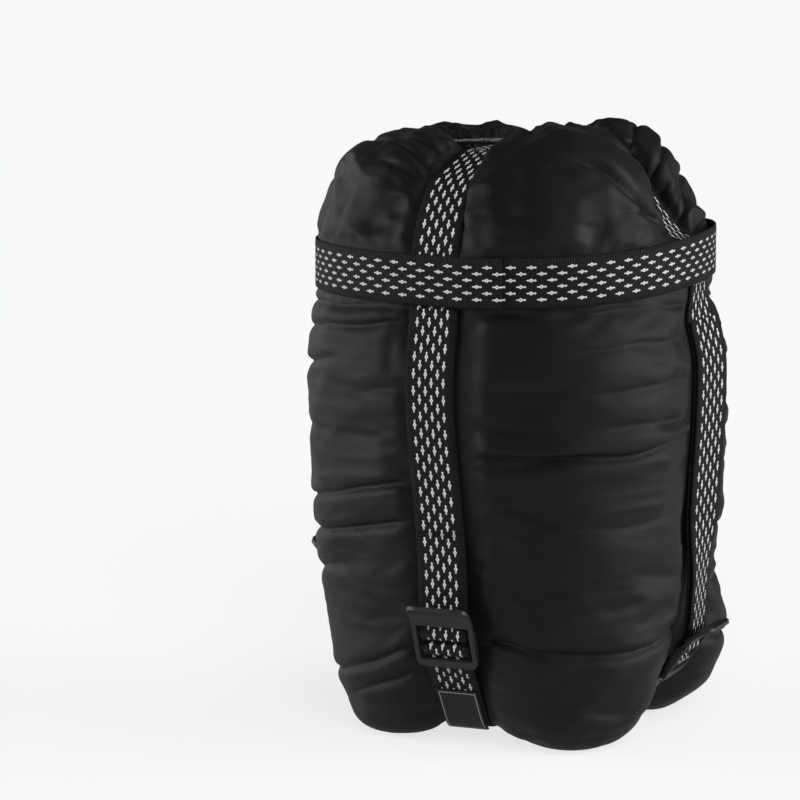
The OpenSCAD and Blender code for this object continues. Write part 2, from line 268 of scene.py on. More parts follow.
# How far each panel stands out at its foot, waist and shoulder, how squarely its foot turns
# in, and how much higher its hood stands
foot_swell = (0.001, 0.013, 0.000, -0.0035)
foot_flare = (0.34, 0.36, 0.80, 0.44)
waist_swell = (0.000, 0.001, -0.002, -0.003)
shoulder_swell = (0.000, -0.006, 0.000, 0.000)
hood_rise = (-0.001, -0.006, -0.009, -0.006)
# How far the hood of each panel hangs over the straps on its left and right
hood_overlap = ((0.011, 0.008), (0.003, 0.003), (0.004, 0.004), (0.003, 0.002))
# How far the tight straps sink into the hood between the band and the crown
hood_sink = (0.004, 0.016, 0.004, 0.004)
# How deep the hood of a panel is pressed in or stands out, and the wall beside the right strap
front_right_dent, back_right_dent, front_left_bulge, wall_bulge = 0.012, 0.009, 0.003, 0.005
# The right-hand strap and its channel are turned a little towards the front, and the front
# ones stray to the left, each between two heights and softly at both ends
right_twist, twist_from, twist_to = math.radians(18.0), 0.075, band_low + 0.004
front_drift, drift_from, drift_to = -0.005, 0.085, crossing_h


def mix(a, b, t):
    return a + (b - a) * t


def ease(t):
    t = min(max(t, 0.0), 1.0)
    return (1 - math.cos(math.pi * t)) / 2


def meridian(line, s):
    """Radius and height on an outline: 0 base, 1 belly, 2 and 3 band, 4 crown, 5 mouth."""
    if s <= 1:
        a = s * math.pi / 2
        return (mix(line["low"][0], line["belly"], math.sin(a) ** line["flare"]),
                mix(line["low"][1], belly_h, 1 - math.cos(a)))
    if s <= 2:
        return mix(line["belly"], line["seat"], ease(s - 1)), mix(belly_h, band_low, s - 1)
    if s <= 3:
        return line["seat"], mix(band_low, band_high, s - 2)
    if s <= 4:
        a = (s - 3) * math.pi / 2
        return (mix(line["crown"][0], line["seat"], math.cos(a)),
                mix(band_high, line["crown"][1], math.sin(a)))
    return mix(line["crown"][0], mouth_r, s - 4), mix(line["crown"][1], mouth_h, ease(s - 4))


def running_length(points, start=0.0):
    """The length along points up to each of them."""
    run = [start]
    for a, b in zip(points, points[1:]):
        run.append(run[-1] + (b - a).length)
    return run


def evenly_along(run, count):
    """Even places along a running length, each as a stretch and the share along it."""
    places, at = [], 0
    for i in range(count + 1):
        want = run[-1] * i / count
        while at < len(run) - 2 and run[at + 1] < want:
            at += 1
        places.append((at, (want - run[at]) / max(run[at + 1] - run[at], 1e-9)))
    return places


def even_steps(line, start, end, count):
    """Places along an outline, evenly spaced by length, and its whole length."""
    fine = [mix(start, end, i / 600) for i in range(601)]
    run = running_length([Vector(meridian(line, s)) for s in fine])
    steps = [mix(fine[at], fine[at + 1], part) for at, part in evenly_along(run, count)]
    return steps, run[-1]


def panel_of(turn):
    """The panel between two straps, and the share of the way across it, to the right."""
    quarter = (turn + math.pi / 2) / (math.pi / 2)
    return int(math.floor(quarter)) % 4, quarter % 1.0


def strap_twist(n, height):
    """Turn of a strap about its own length, on the wall between its buckle and the band."""
    if n != 2:
        return 0.0
    return right_twist * ease((height - twist_from) / 0.04) * ease((twist_to - height) / 0.02)


def strap_drift(n, height):
    """How far a strap strays to the right of its plane; only the front one does."""
    if n != 1:
        return 0.0
    return front_drift * ease((height - drift_from) / 0.10) * ease((drift_to - height) / 0.014)


def bell(x, middle, reach):
    return math.exp(-((x - middle) / reach) ** 2)


def channel_point(n, s):
    """Radius and height of the channel under one strap."""
    r, z = meridian(channel_line, s)
    if 3 < s < 4:
        sunk = hood_sink[(n - 1) % 4] * math.sin(math.pi * (s - 3) ** 0.65)
        r, z = r - 0.8 * sunk, z - 0.6 * sunk
    return r, z


def lobe_point(panel, across, s):
    """Radius and height of the puffed cloth between two straps, with its own swells and dents."""
    flare = mix(lobe_line["flare"], foot_flare[panel], math.sin(math.pi * across) ** 0.4)
    r, z = meridian(dict(lobe_line, flare=flare), s)
    if s > 3:
        z += hood_rise[panel] * min(s - 3, 1.0) * min(5 - s, 1.0)
        if panel == front_right:
            dent = front_right_dent * bell(across, 0.85, 0.20) * bell(s, 3.3, 0.40)
            r -= dent * ease((s - 3) / 0.12)
        if panel == back_right:
            r -= back_right_dent * bell(s, 3.35, 0.35)
        if panel == front_left:
            r += front_left_bulge * bell(s, 3.6, 0.18) - front_left_bulge * bell(s, 3.25, 0.2)
    if s < 1:
        r += foot_swell[panel] * ease(z / 0.018) * ease((0.085 - z) / 0.045)
        r += waist_swell[panel] * ease((z - 0.04) / 0.03) * ease((0.15 - z) / 0.06)
        if panel == front_right:
            r += wall_bulge * bell(across, 0.85, 0.2) * bell(z, 0.075, 0.04)
    if s < 2:
        r += shoulder_swell[panel] * bell(z, 0.190, 0.035)
    return r, z


def sack_point(turn, s):
    """A point of the smooth sack, with flat channels under the straps and lobes between."""
    panel, across = panel_of(turn)
    side = 1 if across < 0.5 else -1
    strap = panel + (1 if side > 0 else 2)
    rc, zc = channel_point(strap, s)
    rl, zl = lobe_point(panel, across, s)
    off = (across if side > 0 else 1 - across) * math.pi / 2
    edge = math.atan2(channel_half, rc)
    share = max(0.0, off - edge) / (math.pi / 4 - edge)
    if s < 4:
        turn += strap_drift(1 if strap == 5 else strap, zc) * (1 - ease(share)) / rc
    twist = strap_twist(strap, zc)
    flat = rc * math.cos(twist) / math.cos(side * min(off, edge) + twist)
    if off <= edge:
        return Vector((flat * math.cos(turn), flat * math.sin(turn), zc))
    gentle = panel == front_right and side > 0 and s < 2.5
    swell = math.sin(share * math.pi / 2) ** (0.85 if gentle else 0.5)
    r, z = mix(flat, rl, swell), mix(zc, zl, swell)
    if s > 3:
        over = hood_overlap[panel][0 if side > 0 else 1]
        over = over * ease((s - 3) / 0.3) * ease((4.3 - s) / 0.5)
        turn -= side * over / r * share / 0.25 * math.exp(1 - share / 0.25)
    return Vector((r * math.cos(turn), r * math.sin(turn), z))


cloth_girth = 2 * math.pi * belly_r


def shaped_grid(columns, rows, cloth_at, point_at):
    """A grid with its cloth and points placed by shares across and up, sewn where edges meet."""
    mesh = bmesh.new()
    bmesh.ops.create_grid(mesh, x_segments=columns, y_segments=rows, size=0.5, calc_uvs=True)
    cloth_uv = mesh.loops.layers.uv.verify()
    for face in mesh.faces:
        for corner in face.loops:
            corner[cloth_uv].uv = cloth_at(corner.vert.co.x + 0.5, corner.vert.co.y + 0.5)
    for vert in mesh.verts:
        vert.co = point_at(vert.co.x + 0.5, vert.co.y + 0.5)
    bmesh.ops.remove_doubles(mesh, verts=mesh.verts, dist=1e-6)
    bmesh.ops.recalc_face_normals(mesh, faces=mesh.faces)
    return mesh


def round_turn(share):
    """Angle of a share of the way round the sack, from the front strap."""
    return 2 * math.pi * share - math.pi / 2


def sack_sheet(name, start, end, columns, rows):
    """A tube of the smooth sack between two places on its outline, laid out as flat cloth."""
    steps, length = even_steps(lobe_line, start, end, rows)
    return add_piece(name, shaped_grid(
        columns, rows,
        lambda x, y: (x * cloth_girth, y * length),
        lambda x, y: sack_point(round_turn(x), steps[round(y * rows)])))


def beside_strap(turn, far):
    """Distance along the cloth from the nearest strap channel's edge, at a radius."""
    across = panel_of(turn)[1]
    return min(across, 1 - across) * math.pi / 2 * far - channel_half


settle_frames = 24


def settle_cloth(piece, held, spare, push, most):
    """Let the cloth buckle: it has spare length, the load pushes it out, and what is held stays."""
    trial = bpy.data.objects.new(piece.name + "_trial", piece.data.copy())
    scene.collection.objects.link(trial)
    pins = trial.vertex_groups.new(name="held")
    for vert in trial.data.vertices:
        pins.add([vert.index], held(vert.co), "REPLACE")
    cloth = trial.modifiers.new("cloth", "CLOTH")
    cloth.settings.quality = 5
    cloth.settings.mass = 0.15
    cloth.settings.air_damping = 4.0
    cloth.settings.tension_stiffness = 25.0
    cloth.settings.compression_stiffness = 25.0
    cloth.settings.shear_stiffness = 8.0
    cloth.settings.bending_stiffness = 0.12
    cloth.settings.vertex_group_mass = "held"
    cloth.settings.use_pressure = True
    cloth.settings.uniform_pressure_force = push
    cloth.settings.shrink_min = -spare
    cloth.settings.effector_weights.gravity = 0.0
    cloth.collision_settings.use_self_collision = False
    cloth.collision_settings.use_collision = False
    cloth.point_cache.frame_start = 1
    cloth.point_cache.frame_end = settle_frames
    for tick in range(1, settle_frames + 1):
        scene.frame_set(tick)
    done = trial.evaluated_get(bpy.context.evaluated_depsgraph_get())
    moves = [after.co - before.co
             for before, after in zip(piece.data.vertices, done.data.vertices)]
    for vert, move in zip(piece.data.vertices, moves):
        vert.co += move * min(1.0, most / max(move.length, 1e-9))
    scene.frame_set(1)
    bpy.data.objects.remove(trial)


def smooth_faces(data):
    for face in data.polygons:
        face.use_smooth = True


def refined(piece):
    """Split each face of a piece into four on a smooth surface."""
    smoother = piece.modifiers.new("smooth", "SUBSURF")
    smoother.levels = smoother.render_levels = 1
    smoother.boundary_smooth = "PRESERVE_CORNERS"
    done = piece.evaluated_get(bpy.context.evaluated_depsgraph_get())
    data = bpy.data.meshes.new_from_object(done)
    piece.modifiers.remove(smoother)
    coarse = piece.data
    piece.data = data
    bpy.data.meshes.remove(coarse)
    data.name = piece.name
    smooth_faces(data)


def cloth_places(data):
    """The place of every point on the laid-out cloth."""
    places = [None] * len(data.vertices)
    layer = data.uv_layers.active.data
    for corner in data.loops:
        places[corner.vertex_index] = layer[corner.index].uv
    return places


# Main creases: panel, shares across with heights in mm, depth in mm, half width in mm
wall_creases = [
    (front_right, ((0.08, 211), (0.40, 213), (0.95, 215)), 3.0, 2.2),
    (front_right, ((0.35, 196), (0.65, 199), (1.00, 194)), 2.0, 3.0),
    (front_right, ((0.42, 176), (0.70, 177), (1.00, 180)), 2.2, 3.0),
    (front_right, ((0.50, 158), (0.80, 158), (1.00, 162)), 2.4, 2.8),
    (front_right, ((0.00, 160), (0.20, 159), (0.30, 159)), 2.4, 2.0),
    (front_right, ((0.00, 145), (0.30, 146), (0.62, 147), (1.00, 152)), 5.0, 2.0),
    (front_right, ((0.00, 140), (0.25, 142), (0.45, 146)), 4.0, 1.8),
    (front_right, ((0.68, 146), (1.00, 146)), 3.2, 1.8),
    (front_right, ((0.30, 118), (0.55, 112), (0.85, 114)), 1.6, 5.0),
    (front_right, ((0.25, 86), (0.60, 80)), 1.0, 6.0),
    (front_right, ((0.05, 62), (0.20, 55), (0.45, 50), (0.70, 51), (1.00, 62)), 4.5, 2.6),
    (front_right, ((0.00, 40), (0.20, 34)), 3.0, 2.4),
    (front_right, ((0.72, 10), (0.85, 18), (1.00, 30)), 3.0, 2.2),
    (front_right, ((0.80, 44), (1.00, 50)), 3.0, 2.0),
    (front_left, ((0.00, 206), (0.50, 212), (1.00, 214)), 3.0, 2.2),
    (front_left, ((0.10, 192), (0.40, 199), (0.65, 203), (1.00, 208)), 3.6, 2.0),
    (front_left, ((0.05, 174), (0.40, 181), (0.60, 188)), 4.2, 2.0),
    (front_left, ((0.70, 172), (1.00, 176)), 1.8, 3.0),
    (front_left, ((0.20, 150), (0.50, 148)), 1.8, 4.0),
    (front_left, ((0.00, 109), (0.45, 118), (0.70, 126), (1.00, 132)), 4.6, 2.0),
    (front_left, ((0.00, 92), (0.40, 98), (0.70, 107), (1.00, 115)), 4.8, 2.0),
    (front_left, ((0.00, 72), (0.35, 78), (0.60, 88)), 3.0, 2.6),
    (front_left, ((0.15, 27), (0.50, 32), (0.78, 45), (1.00, 57)), 3.6, 2.0),
    (front_left, ((0.50, 20), (0.80, 36), (1.00, 47)), 3.4, 2.2),
    (back_right, ((0.00, 212), (0.50, 208), (1.00, 212)), 3.2, 2.2),
    (back_right, ((0.00, 186), (0.40, 180), (0.75, 184)), 3.8, 2.4),
    (back_right, ((0.00, 158), (0.45, 164), (1.00, 160)), 4.8, 2.2),
    (back_right, ((0.20, 134), (0.60, 128), (1.00, 138)), 4.4, 2.2),
    (back_right, ((0.00, 104), (0.50, 96), (0.80, 100)), 3.6, 2.8),
    (back_right, ((0.00, 44), (0.30, 41), (0.60, 44), (1.00, 54)), 6.0, 2.6),
    (back_right, ((0.00, 68), (0.30, 74)), 3.0, 2.6),
    (back_left, ((0.00, 213), (0.50, 210), (1.00, 207)), 3.2, 2.2),
    (back_left, ((0.15, 190), (0.60, 194), (1.00, 188)), 3.6, 2.2),
    (back_left, ((0.00, 168), (0.35, 172), (0.70, 166)), 4.2, 2.2),
    (back_left, ((0.00, 140), (0.50, 146), (1.00, 142)), 4.8, 2.2),
    (back_left, ((0.25, 112), (0.65, 118), (1.00, 110)), 4.2, 2.4),
    (back_left, ((0.00, 88), (0.50, 80), (0.85, 86)), 3.4, 2.8),
    (back_left, ((0.00, 56), (0.50, 46), (1.00, 58)), 4.6, 2.6),
]


def crease_height(points, across):
    """Height of a crease, in metres, at a share across its panel."""
    for (a, low), (b, high) in zip(points, points[1:]):
        if across <= b:
            break
    return mix(low, high, (across - a) / (b - a)) / 1000


fade_run, faded_end = 0.15, 0.3
crease_waver, crease_climb = 0.0035, 0.0003
shoulder_reach, shoulder_share = 4.5, 0.5


def creases_at(creases, panel, across, height):
    """How far creased cloth moves out and up at a place."""
    out, up = 0.0, 0.0
    for of_panel, points, depth, half in creases:
        if of_panel != panel:
            continue
        start, end = points[0][0], points[-1][0]
        fade = ease((across - start) / fade_run + (1.0 if start == 0 else faded_end))
        fade *= ease((end - across) / fade_run + (1.0 if end == 1 else faded_end))
        if fade <= 0:
            continue
        waver = crease_waver * noise.noise(Vector((across * 4.1, points[0][1] * 0.37, panel)))
        away = height - crease_height(points, across) - waver
        half *= 0.001
        groove = math.exp(-abs(away) / half)
        shoulder = math.exp(-(away / (shoulder_reach * half)) ** 2)
        out -= 0.001 * depth * fade * (groove - shoulder_share * shoulder)
        up += crease_climb * depth * fade * groove
    return out, up


# Ripples of the wall: the length and height of one and where its pattern starts, and its depth
ripple_size, ripple_depth = (0.040, 0.009, 3.7), 0.0012
finer_size, finer_depth = (0.018, 0.0045, 9.1), 0.0004
broad_size, broad_depth = (0.060, 0.030, 5.5), 0.0012
gather_least, gather_reach = 0.3, 0.016


def ripple_noise(along, height, size):
    length, rise, start = size
    return noise.noise(Vector((along / length, height / rise, start)))


def creased(turn, height):
    """How far the wall moves out and up at a place, for its creases and small ripples."""
    panel, across = panel_of(turn)
    out, up = creases_at(wall_creases, panel, across, height)
    round_there = belly_r * turn
    beside = max(beside_strap(turn, belly_r), 0.0)
    gather = gather_least + (1 - gather_least) * math.exp(-beside / gather_reach)
    ripple = ripple_noise(round_there, height, ripple_size)
    finer = ripple_noise(round_there, height, finer_size)
    broad = ripple_noise(round_there, height, broad_size)
    out += (ripple_depth * gather * (0.5 - abs(ripple)) * 2 + finer_depth * gather * finer
            + broad_depth * broad)
    return out, up


seam_h, smooth_by_strap, smooth_by_base, smooth_by_band = 0.001, 0.008, 0.015, 0.004


def crease_wall(piece):
    """Press the creases into the wall, which stays smooth by the straps and seams."""
    for vert in piece.data.vertices:
        turn = math.atan2(vert.co.y, vert.co.x)
        free = ease(beside_strap(turn, vert.co.xy.length) / smooth_by_strap)
        free *= ease((vert.co.z - seam_h) / smooth_by_base)
        free *= ease((band_low - vert.co.z) / smooth_by_band)
        out, up = creased(turn, vert.co.z)
        radial = Vector((math.cos(turn), math.sin(turn), 0))
        vert.co += (radial * out + Vector((0, 0, up))) * free


def group_kit(name, inputs, outputs):
    """A new shader group with named sockets: its two ends, and short ways to fill it."""
    group = bpy.data.node_groups.new(name, "ShaderNodeTree")
    for label, kind in inputs:
        group.interface.new_socket(label, in_out="INPUT", socket_type=kind)
    for label in outputs:
        group.interface.new_socket(label, in_out="OUTPUT", socket_type="NodeSocketFloat")
    add, join, sums = node_kit(group)
    return group, add("NodeGroupInput"), add("NodeGroupOutput"), add, join, sums


def taffeta_group():
    """Plain weave with loose ripples and broad patches, from cloth coordinates in metres."""
    group, entry, leave, add, join, sums = group_kit(
        "taffeta_weave",
        (("Cloth", "NodeSocketVector"), ("Thread", "NodeSocketFloat")), ("Height", "Shade"))
    split = add("ShaderNodeSeparateXYZ")
    join(entry.outputs["Cloth"], split.inputs[0])
    waves = []
    for axis in ("X", "Y"):
        turns = sums("DIVIDE", split.outputs[axis], entry.outputs["Thread"])
        waves.append(sums("SINE", sums("MULTIPLY", turns, 2 * math.pi)))
    weave = sums("MULTIPLY", *waves)
    stretch = add("ShaderNodeVectorMath", {1: (32.0, 120.0, 1.0)}, operation="MULTIPLY")
    join(entry.outputs["Cloth"], stretch.inputs[0])
    ripples = add("ShaderNodeTexNoise", {"Scale": 1.0, "Detail": 4.0})
    join(stretch.outputs[0], ripples.inputs["Vector"])
    patches = add("ShaderNodeTexNoise", {"Scale": 14.0, "Detail": 2.0})
    join(entry.outputs["Cloth"], patches.inputs["Vector"])
    join(sums("ADD", sums("MULTIPLY", weave, 0.06), ripples.outputs[0]), leave.inputs["Height"])
    join(patches.outputs[0], leave.inputs["Shade"])
    return group


nylon_dark, nylon_light = (0.0028, 0.0028, 0.0030), (0.0046, 0.0046, 0.0050)
nylon_rough = 0.57
nylon = Finish("black_nylon", {
    "Specular IOR Level": 0.36, "Sheen Weight": 0.03, "Sheen Roughness": 0.35})
taffeta = nylon.add("ShaderNodeGroup", {"Thread": 0.0011}, node_tree=taffeta_group())
nylon.join(nylon.cloth(), taffeta.inputs["Cloth"])
nylon.tint(taffeta.outputs["Shade"], nylon_dark, nylon_light)
nylon.satin(taffeta.outputs["Shade"], nylon_rough - 0.06, nylon_rough + 0.08)
nylon.emboss(taffeta.outputs["Height"], 0.35, 0.0012)

side_wall = sack_sheet("side_wall_cloth", 0.0, 2.5, 144, 96)


held_edge, under_band, least_hold = 0.004, 0.002, 0.01


def strap_hold(place):
    """How firmly the straps hold the cloth at a place."""
    turn = math.atan2(place.y, place.x)
    return 1 - ease(beside_strap(turn, place.xy.length) / held_edge + 0.5)


def wall_held(place):
    """The wall is held under the straps, by the base seam and under the band."""
    base_seam = ease((place.z - seam_h) / held_edge)
    band_seam = ease((band_low + under_band - place.z) / held_edge)
    return max(strap_hold(place), 1 - base_seam * band_seam, least_hold)


settle_cloth(side_wall, wall_held, spare=0.015, push=0.8, most=0.003)
refined(side_wall)
crease_wall(side_wall)
side_wall.data.materials.append(nylon.material)
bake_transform(side_wall)
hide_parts("side_wall", "lower_filling")


# Base panel: a round of the same nylon, sewn to the side wall. It rests on four flat lobes
# and the two base straps cross in the channels between them.
base_rings = 14
channel_side = 0.014


def base_cloth_at(x, y):
    turn = round_turn(x)
    return base_r * y * math.cos(turn), base_r * y * math.sin(turn)


def base_point(x, y):
    """A point of the base, from its middle out to the seam, over the channels of the straps."""
    edge = sack_point(round_turn(x), 0.0)
    beside = min(abs(edge.x), abs(edge.y)) * y
    height = channel_h * (1 - ease((beside - channel_half) / channel_side))
    return Vector((edge.x * y, edge.y * y, mix(height, edge.z, y ** 8) + 0.0001))


base_mesh = shaped_grid(144, base_rings, base_cloth_at, base_point)
if sum(f.normal.z for f in base_mesh.faces) > 0:
    bmesh.ops.reverse_faces(base_mesh, faces=base_mesh.faces)
base_cloth = add_piece("base_cloth", base_mesh)
smooth_faces(base_cloth.data)
base_cloth.data.materials.append(nylon.material)
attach(base_cloth, "base")
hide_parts("base_panel")


# Hood: the same tube above the band, gathered by the drawcord. It puffs up in four lobes
# between the straps and dives into the mouth in fine pleats.
hood = sack_sheet("hood_cloth", 2.5, 5.0, 144, 64)


def hood_held(place):
    """The hood is held under the straps, under the band and by the hem."""
    band_seam = ease((place.z - band_high + under_band) / 0.006)
    hem_seam = ease((place.xy.length - mouth_r) / 0.010)
    return max(strap_hold(place), 1 - band_seam * hem_seam, least_hold)


# Main folds, as on the wall, with their heights measured up the cloth from the band
hood_creases = [
    (front_left, ((0.00, 50), (0.30, 60), (0.60, 66), (0.85, 62), (1.00, 54)), 4.0, 2.2),
    (front_left, ((0.60, 60), (0.85, 53), (1.00, 46)), 3.0, 1.8),
    (front_left, ((0.66, 49), (0.88, 44), (1.00, 37)), 2.6, 1.8),
    (front_left, ((0.62, 76), (0.85, 72), (1.00, 66)), 3.0, 1.8),
    (front_left, ((0.10, 30), (0.45, 34)), 1.4, 3.0),
    (front_right, ((0.44, 50), (0.54, 38), (0.62, 26), (0.78, 16)), 7.5, 3.8),
    (front_right, ((0.60, 62), (0.76, 48), (0.90, 28)), 3.0, 3.0),
    (front_right, ((0.56, 20), (0.76, 15), (1.00, 4)), 2.4, 2.0),
    (front_right, ((0.00, 56), (0.16, 66), (0.34, 74)), 2.0, 2.2),
    (front_right, ((0.20, 20), (0.50, 12)), 1.2, 3.5),
    (back_right, ((0.00, 16), (0.30, 30), (0.62, 27)), 3.0, 2.2),
    (back_right, ((0.00, 44), (0.35, 54), (0.80, 44)), 3.4, 2.2),
    (back_right, ((0.00, 62), (0.30, 71), (0.70, 64), (1.00, 56)), 2.8, 2.0),
    (back_right, ((0.10, 6), (0.45, 13), (0.80, 8)), 2.4, 2.0),
    (back_right, ((0.30, 78), (0.55, 60), (0.66, 36)), 3.0, 2.4),
    (back_left, ((0.00, 48), (0.40, 58), (1.00, 50)), 4.6, 2.2),
    (back_left, ((0.00, 64), (0.50, 72), (1.00, 66)), 4.4, 2.0),
    (back_left, ((0.00, 22), (0.50, 30), (1.00, 20)), 3.4, 2.4),
]
# Depth of the small folds of each panel, and of the finer folds, puffs and pleats of all
hood_fold_depth = (0.0026, 0.0055, 0.0045, 0.0030)
finer_fold_depth, puff_depth, puff_size = 0.0008, 0.0016, 0.03
pleat_depth, pleat_from, pleat_run = 0.0034, 0.078, 0.045


def gather_hood(piece):
    """Folds, small puffs and the pleats that run into the mouth, out from the smooth cloth."""
    places = cloth_places(piece.data)
    normals = [vert.normal.copy() for vert in piece.data.vertices]
    for vert, place, normal in zip(piece.data.vertices, places, normals):
        turn = round_turn(place.x / cloth_girth)
        panel, across = panel_of(turn)
        far = vert.co.xy.length
        up_cloth = place.y - webbing_w / 2
        free = ease(beside_strap(turn, far) / 0.006 + 0.2) * ease(up_cloth / 0.008)
        inward = ease((pleat_from - far) / pleat_run)
        pleat = noise.noise(Vector((math.cos(turn) * 8, math.sin(turn) * 8, far * 20)))
        fold = noise.noise(Vector((turn * 4.0, up_cloth / 0.022, 0.5)))
        finer = noise.noise(Vector((turn * 9.0, up_cloth / 0.010, 7.5)))
        puff = noise.noise(vert.co / puff_size)
        out = creases_at(hood_creases, panel, across, up_cloth)[0]
        out += pleat_depth * inward * (0.5 - abs(pleat)) * 2 + puff_depth * puff
        out += hood_fold_depth[panel] * (0.4 - abs(fold)) + finer_fold_depth * (0.4 - abs(finer))
        vert.co += normal * out * free


settle_cloth(hood, hood_held, spare=0.03, push=1.0, most=0.0035)
refined(hood)
gather_hood(hood)
hood.data.materials.append(nylon.material)
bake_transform(hood)
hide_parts("hood", "upper_filling")


# Mouth: the hem is a rolled tunnel of the same nylon, sewn round the top of the hood. The
# drawcord inside it has drawn it into tight gathers.
hem_r, hem_tube = 0.022, (hem_hi.z - hem_lo.z) / 2
hem_girth, hem_height = 0.6, 0.03
hem_gathers, gather_depth = 34, 0.00055


def hem_point(x, y):
    turn, roll = 2 * math.pi * x, 2 * math.pi * y
    wander = 1.5 * math.sin(3 * turn) + 0.6 * math.sin(roll)
    gather = gather_depth * math.sin(hem_gathers * turn + wander)
    thick = hem_tube - 0.0006 + gather
    far = hem_r + thick * math.cos(roll)
    return Vector((far * math.cos(turn), far * math.sin(turn), mouth_h + thick * math.sin(roll)))


hem = add_piece("hem_cloth", shaped_grid(
    180, 16, lambda x, y: (x * hem_girth, y * hem_height), hem_point))
smooth_faces(hem.data)
hem.data.materials.append(nylon.material)
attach(hem, "top")
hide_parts("mouth_hem")


# Webbing: 25 mm woven straps with ribbed black edges and rows of small white marks.
# The two compression straps run from the buckles up the sack and cross over the mouth.
mark_pitch, band_mark_pitch = 0.0080, 0.0095
mark_row, mark_rows = 0.0030, 6
# One white mark, in mm: half its ring and stem each way, where the stem starts, and its knob
ring_long, ring_wide, ring_at = 1.45, 1.0, 0.62
stem_long, stem_wide, stem_from = 2.3, 0.45, 1.2
knob_at, knob_long, knob_wide = 2.0, 0.55, 0.62
rib_pitch, thread_pitch = 0.0013, 0.0011


def webbing_group():
    """Rows of white spindles, and the ribs of the ground, from U along and V across, in metres."""
    group, entry, leave, add, join, sums = group_kit(
        "marked_webbing",
        (("Strip", "NodeSocketVector"), ("Pitch", "NodeSocketFloat")), ("Mark", "Height"))
    split = add("ShaderNodeSeparateXYZ")
    join(entry.outputs["Strip"], split.inputs[0])
    along, across = split.outputs["X"], split.outputs["Y"]
    half = mark_rows * mark_row / 2
    row_place = sums("DIVIDE", sums("ADD", across, half), mark_row)
    row = sums("FLOOR", row_place)
    beside = sums("MULTIPLY", sums("SUBTRACT", sums("FRACT", row_place), 0.5), mark_row * 1000)
    stagger = sums("MULTIPLY", sums("MODULO", row, 2.0), 0.5)
    turns = sums("ADD", sums("DIVIDE", along, entry.outputs["Pitch"]), stagger)
    local = sums("SUBTRACT", sums("FRACT", turns), 0.5)
    ahead = sums("MULTIPLY", sums("MULTIPLY", local, entry.outputs["Pitch"]), 1000.0)
    far, off = sums("ABSOLUTE", ahead), sums("ABSOLUTE", beside)
    diamond = sums("ADD", sums("DIVIDE", far, ring_long), sums("DIVIDE", off, ring_wide))
    from_ring = sums("ABSOLUTE", sums("SUBTRACT", diamond, ring_at))
    ring = sums("ADD", sums("MULTIPLY", from_ring, 2.0), 0.24)
    blunt = sums("POWER", sums("DIVIDE", far, stem_long), 4.0)
    stem = sums("ADD", blunt, sums("DIVIDE", off, stem_wide))
    outer_stem = sums("MAXIMUM", stem, sums("SUBTRACT", 2.0, sums("DIVIDE", far, stem_from)))
    from_knob = sums("ABSOLUTE", sums("SUBTRACT", ahead, knob_at))
    knob = sums("ADD", sums("DIVIDE", from_knob, knob_long), sums("DIVIDE", off, knob_wide))
    nearest = sums("MINIMUM", sums("MINIMUM", ring, outer_stem), knob)
    soft = add("ShaderNodeMapRange", {"From Min": 1.15, "From Max": 0.85})
    join(nearest, soft.inputs["Value"])
    inside = sums("LESS_THAN", sums("ABSOLUTE", across), half)
    mark = sums("MULTIPLY", soft.outputs[0], inside)
    rib = sums("SINE", sums("MULTIPLY", along, 2 * math.pi / rib_pitch))
    cross = sums("SINE", sums("MULTIPLY", across, 2 * math.pi / thread_pitch))
    edge_rib = sums("MULTIPLY", rib, sums("SUBTRACT", 1.0, inside))
    ground = sums("MULTIPLY", sums("MULTIPLY", rib, cross), sums("MULTIPLY", inside, 0.5))
    height = sums("ADD", sums("ADD", edge_rib, ground), sums("MULTIPLY", mark, 1.2))
    join(mark, leave.inputs["Mark"])
    join(height, leave.inputs["Height"])
    return group


marked = webbing_group()


def webbing_finish(name, pitch):
    """Black webbing with white marks at a pitch along it."""
    finish = Finish(name, {"Roughness": 0.72, "Specular IOR Level": 0.3})
    weave = finish.add("ShaderNodeGroup", {"Pitch": pitch}, node_tree=marked)
    finish.join(finish.cloth(), weave.inputs["Strip"])
    finish.tint(weave.outputs["Mark"], (0.008, 0.008, 0.0085), (0.92, 0.93, 0.92))
    finish.emboss(weave.outputs["Height"], 0.6, 0.0003)
    return finish.material


webbing = webbing_finish("marked_webbing", mark_pitch)
band_webbing = webbing_finish("band_webbing", band_mark_pitch)

# The webbing's flat section: points across it and out, all the way round
webbing_section = [
    (-0.0125, 0.0), (-0.0121, 0.00055), (-0.0100, 0.0007), (-0.0050, 0.00066), (0.0, 0.00066),
    (0.0050, 0.00066), (0.0100, 0.0007), (0.0121, 0.00055), (0.0125, 0.0), (0.0121, -0.00055),
    (0.0100, -0.0007), (0.0050, -0.00066), (0.0, -0.00066), (-0.0050, -0.00066),
    (-0.0100, -0.0007), (-0.0121, -0.00055),
]


def run_along(places):
    """Length of webbing along places."""
    return running_length([place[0] for place in places])[-1]


def webbing_strip(name, places, material, width=0.95, start_run=0.0):
    """A length of webbing along places, each a point, the direction across and the way out."""
    sides, last = len(webbing_section), len(places) - 1
    run = running_length([place[0] for place in places], start_run)

    def cloth_at(x, y):
        return run[round(y * last)], webbing_section[round(x * sides) % sides][0] * width

    def point_at(x, y):
        point, across, out = places[round(y * last)]
        aside, raised = webbing_section[round(x * sides) % sides]
        return point + across * aside * width + out * raised

    strip = shaped_grid(sides, last, cloth_at, point_at)
    bmesh.ops.holes_fill(strip, edges=[e for e in strip.edges if e.is_boundary], sides=0)
    bmesh.ops.recalc_face_normals(strip, faces=strip.faces)
    piece = add_piece(name, strip)
    for face in piece.data.polygons:
        face.use_smooth = len(face.vertices) == 4
    piece.data.materials.append(material)
    return piece


def strap_turn(n):
    """Straps 1 front, 2 right, 3 back, 4 left, as angles round the sack."""
    return (n - 2) * math.pi / 2


